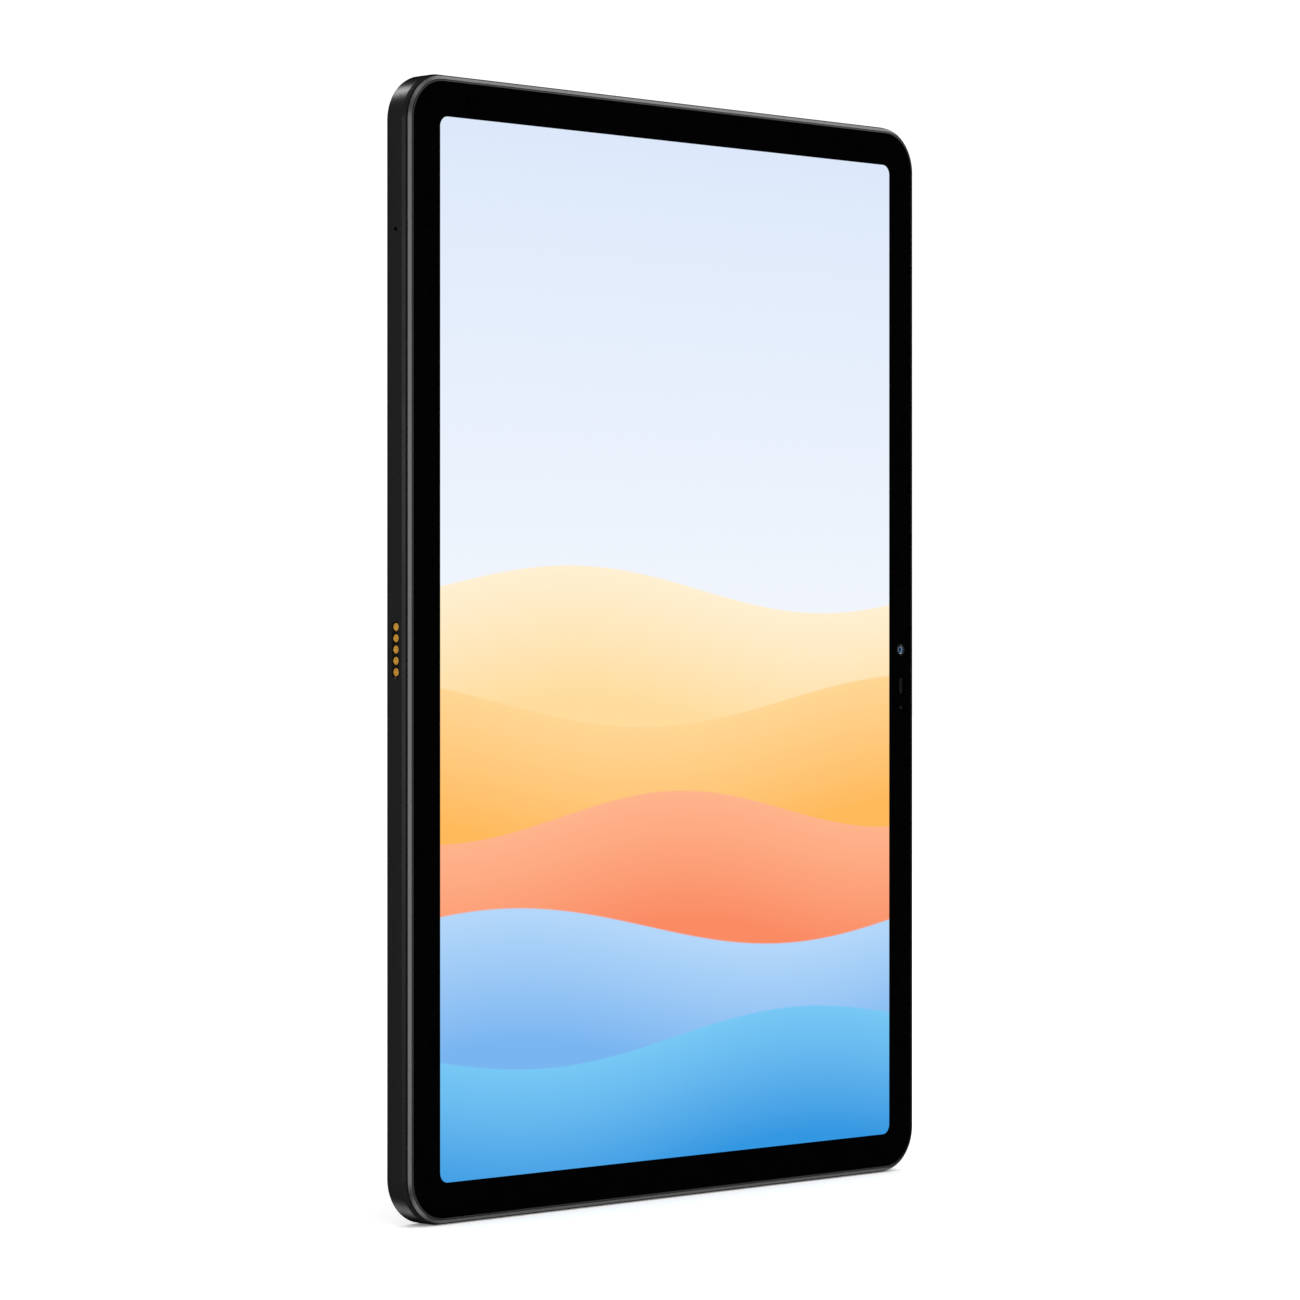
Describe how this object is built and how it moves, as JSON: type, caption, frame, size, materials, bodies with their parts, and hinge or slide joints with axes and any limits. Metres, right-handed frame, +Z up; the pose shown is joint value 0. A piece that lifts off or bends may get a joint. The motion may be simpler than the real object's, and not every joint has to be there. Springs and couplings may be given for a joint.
{
  "type": "tablet computer",
  "caption": "Slim rectangular tablet computer with a glass-fronted display, a flat metal frame, keyboard contacts, side buttons, a card tray and a rear camera.",
  "frame": {"origin": "middle of the bottom edge, at half the body's thickness", "axes": "+Z up the long edge, the screen faces -Y, +X to the right seen from the front"},
  "size_m": [0.1675, 0.0084, 0.2558],
  "materials": {
    "black_glass": "polished, black printed behind",
    "clear_glass": "polished",
    "display": "lit picture",
    "dark_metal": "anodised, fine blasted",
    "black_plastic": "moulded",
    "gasket": "matt foam tape",
    "gold_contact": "gold plated",
    "steel": "bright",
    "copper": "rolled sheet",
    "circuit_board": "solder mask",
    "battery_wrap": "laminated foil",
    "flex_film": "polyimide film",
    "magnet": "nickel plated"
  },
  "bodies": {
    "tablet_body": {"antenna": "black_plastic", "backlight_unit": "display", "battery_board": "circuit_board", "battery_cell_left": "battery_wrap", "battery_cell_right": "battery_wrap", "battery_flex": "flex_film", "board_screw_1": "steel", "board_screw_2": "steel", "board_screw_3": "steel", "board_screw_4": "steel", "card_socket": "steel", "contact_1": "gold_contact", "contact_2": "gold_contact", "contact_3": "gold_contact", "contact_4": "gold_contact", "contact_5": "gold_contact", "contact_block": "black_plastic", "contact_flex": "flex_film", "cover_glass": "black_glass", "display_flex": "flex_film", "display_gasket": "gasket", "flash_led": "display", "flash_window": "display", "front_camera": "black_plastic", "heat_spreader": "copper", "indicator_led": "display", "keyboard_magnet_lower": "magnet", "keyboard_magnet_upper": "magnet", "lcd_panel": "display", "light_sensor": "black_plastic", "link_flex": "flex_film", "main_board": "circuit_board", "microphone": "steel", "mid_frame": "dark_metal", "power_shield": "steel", "power_switch": "steel", "processor_shield": "steel", "rear_camera_module": "black_plastic", "rear_camera_ring": "dark_metal", "rear_camera_window": "clear_glass", "rear_cover": "dark_metal", "side_key_flex": "flex_film", "speaker_bottom_left": "black_plastic", "speaker_bottom_right": "black_plastic", "speaker_mesh_bottom_left": "steel", "speaker_mesh_bottom_right": "steel", "speaker_mesh_top_left": "steel", "speaker_mesh_top_right": "steel", "speaker_top_left": "black_plastic", "speaker_top_right": "black_plastic", "usb_board": "circuit_board", "usb_c_shell": "steel", "usb_c_tongue": "black_plastic", "volume_down_switch": "steel", "volume_up_switch": "steel"},
    "power_button": {"power_button": "dark_metal"},
    "volume_rocker": {"volume_rocker": "dark_metal"},
    "card_tray": {"card_tray": "dark_metal"},
    "lens_barrel": {"rear_lens_barrel": "black_plastic"}
  },
  "joints": [
    {"name": "power_button_press", "type": "slide", "parent": "tablet_body", "child": "power_button", "axis": [0, 0, -1], "range_m": [0, 0.00025], "stiffness_N_per_m": 200},
    {"name": "volume_rock", "type": "hinge", "parent": "tablet_body", "child": "volume_rocker", "pos_m": [0.08, 0.00065, 0.217], "axis": [0, 1, 0], "range_deg": [-1.2, 1.2], "stiffness_Nm_per_rad": 0.02},
    {"name": "card_tray_slide", "type": "slide", "parent": "tablet_body", "child": "card_tray", "axis": [1, 0, 0], "range_m": [0, 0.02]},
    {"name": "lens_focus", "type": "slide", "parent": "tablet_body", "child": "lens_barrel", "axis": [0, 1, 0], "range_m": [0, 0.00025], "stiffness_N_per_m": 50}
  ]
}
